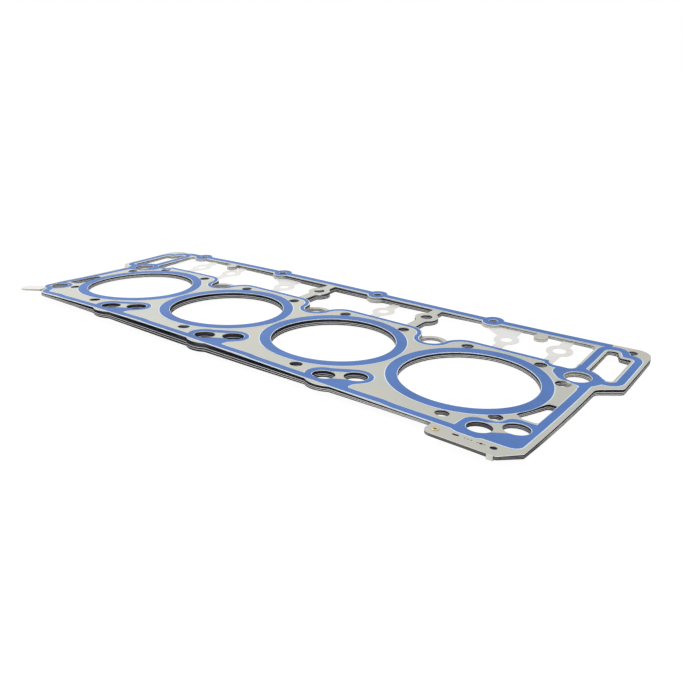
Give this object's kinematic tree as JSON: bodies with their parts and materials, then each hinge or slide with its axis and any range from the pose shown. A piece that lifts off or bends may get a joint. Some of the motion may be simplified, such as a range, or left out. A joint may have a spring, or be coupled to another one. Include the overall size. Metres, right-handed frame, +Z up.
{
  "type": "cylinder head gasket",
  "caption": "Layered steel cylinder head gasket with printed blue seal lines round its bores, bolt holes, passages and pushrod openings.",
  "frame": {"origin": "on the plane that the gasket lies on, halfway between the two middle bores", "axes": "+X along the row of bores, +Y towards the pushrod openings, +Z up through the stack"},
  "size_m": [0.532, 0.2166, 0.0122],
  "materials": {
    "sheet_steel": "satin",
    "core_steel": "dark coated edges",
    "blue_elastomer": "satin printed elastomer",
    "brass": "polished"
  },
  "bodies": {
    "root": {"bore_seal_1": "blue_elastomer", "bore_seal_2": "blue_elastomer", "bore_seal_3": "blue_elastomer", "bore_seal_4": "blue_elastomer", "bottom_sheet": "sheet_steel", "brass_eyelet": "brass", "lower_core_sheet": "core_steel", "outer_seal": "blue_elastomer", "top_sheet": "sheet_steel", "upper_core_sheet": "core_steel"}
  },
  "joints": []
}
